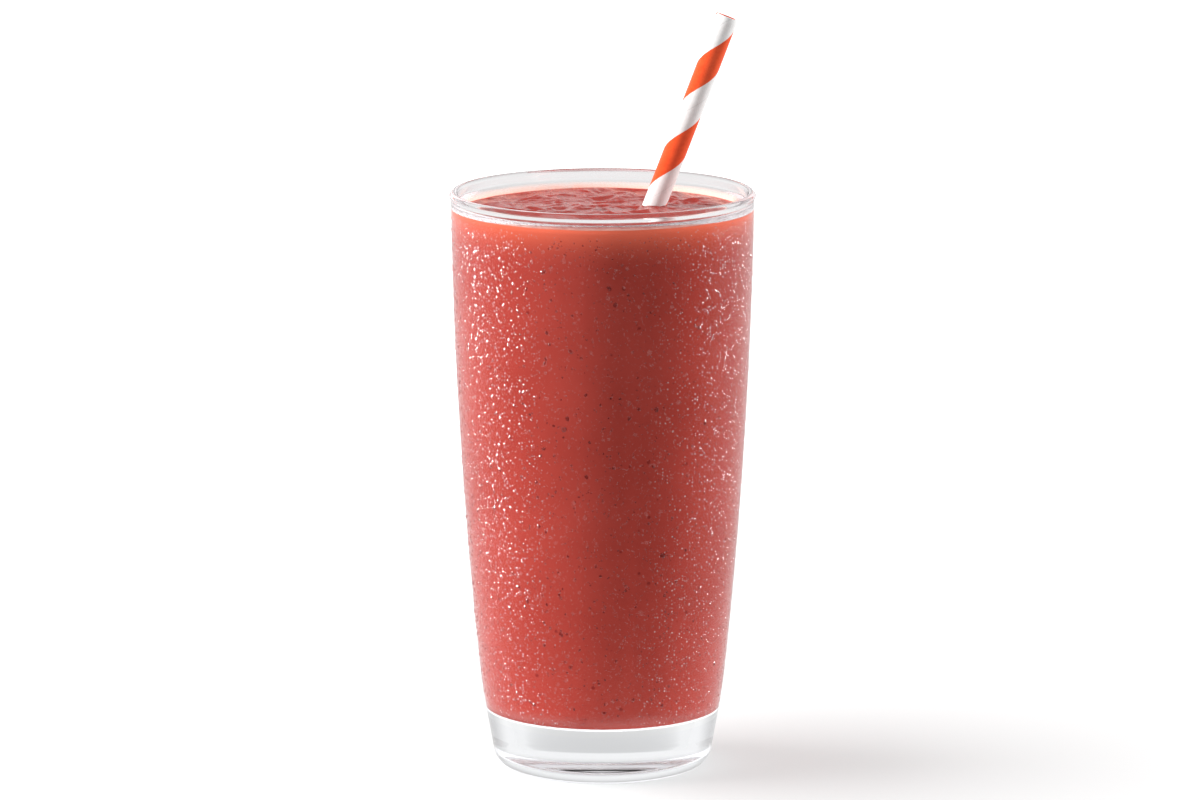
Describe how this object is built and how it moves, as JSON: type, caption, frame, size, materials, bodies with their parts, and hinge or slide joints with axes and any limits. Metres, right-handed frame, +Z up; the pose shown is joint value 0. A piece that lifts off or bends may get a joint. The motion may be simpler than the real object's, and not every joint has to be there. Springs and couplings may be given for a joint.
{
  "type": "acai berry smoothie in a glass",
  "caption": "Tall tapered glass tumbler, filled to just under its rounded rim with thick berry smoothie, with a spiral-striped paper straw leaning in it.",
  "frame": {"origin": "middle of the foot, on the surface that the glass stands on", "axes": "+Z up along the glass's axis; the straw leans towards +X and a little towards +Y"},
  "size_m": [0.0826, 0.0824, 0.2051],
  "materials": {
    "clear_glass": "clear, polished, beaded with condensation where the drink chills it",
    "berry_drink": "thick, wet, slightly lumpy berry puree",
    "striped_paper": "white paper with a printed orange-red spiral stripe"
  },
  "bodies": {
    "root": {"glass": "clear_glass", "smoothie": "berry_drink", "straw": "striped_paper"}
  },
  "joints": []
}
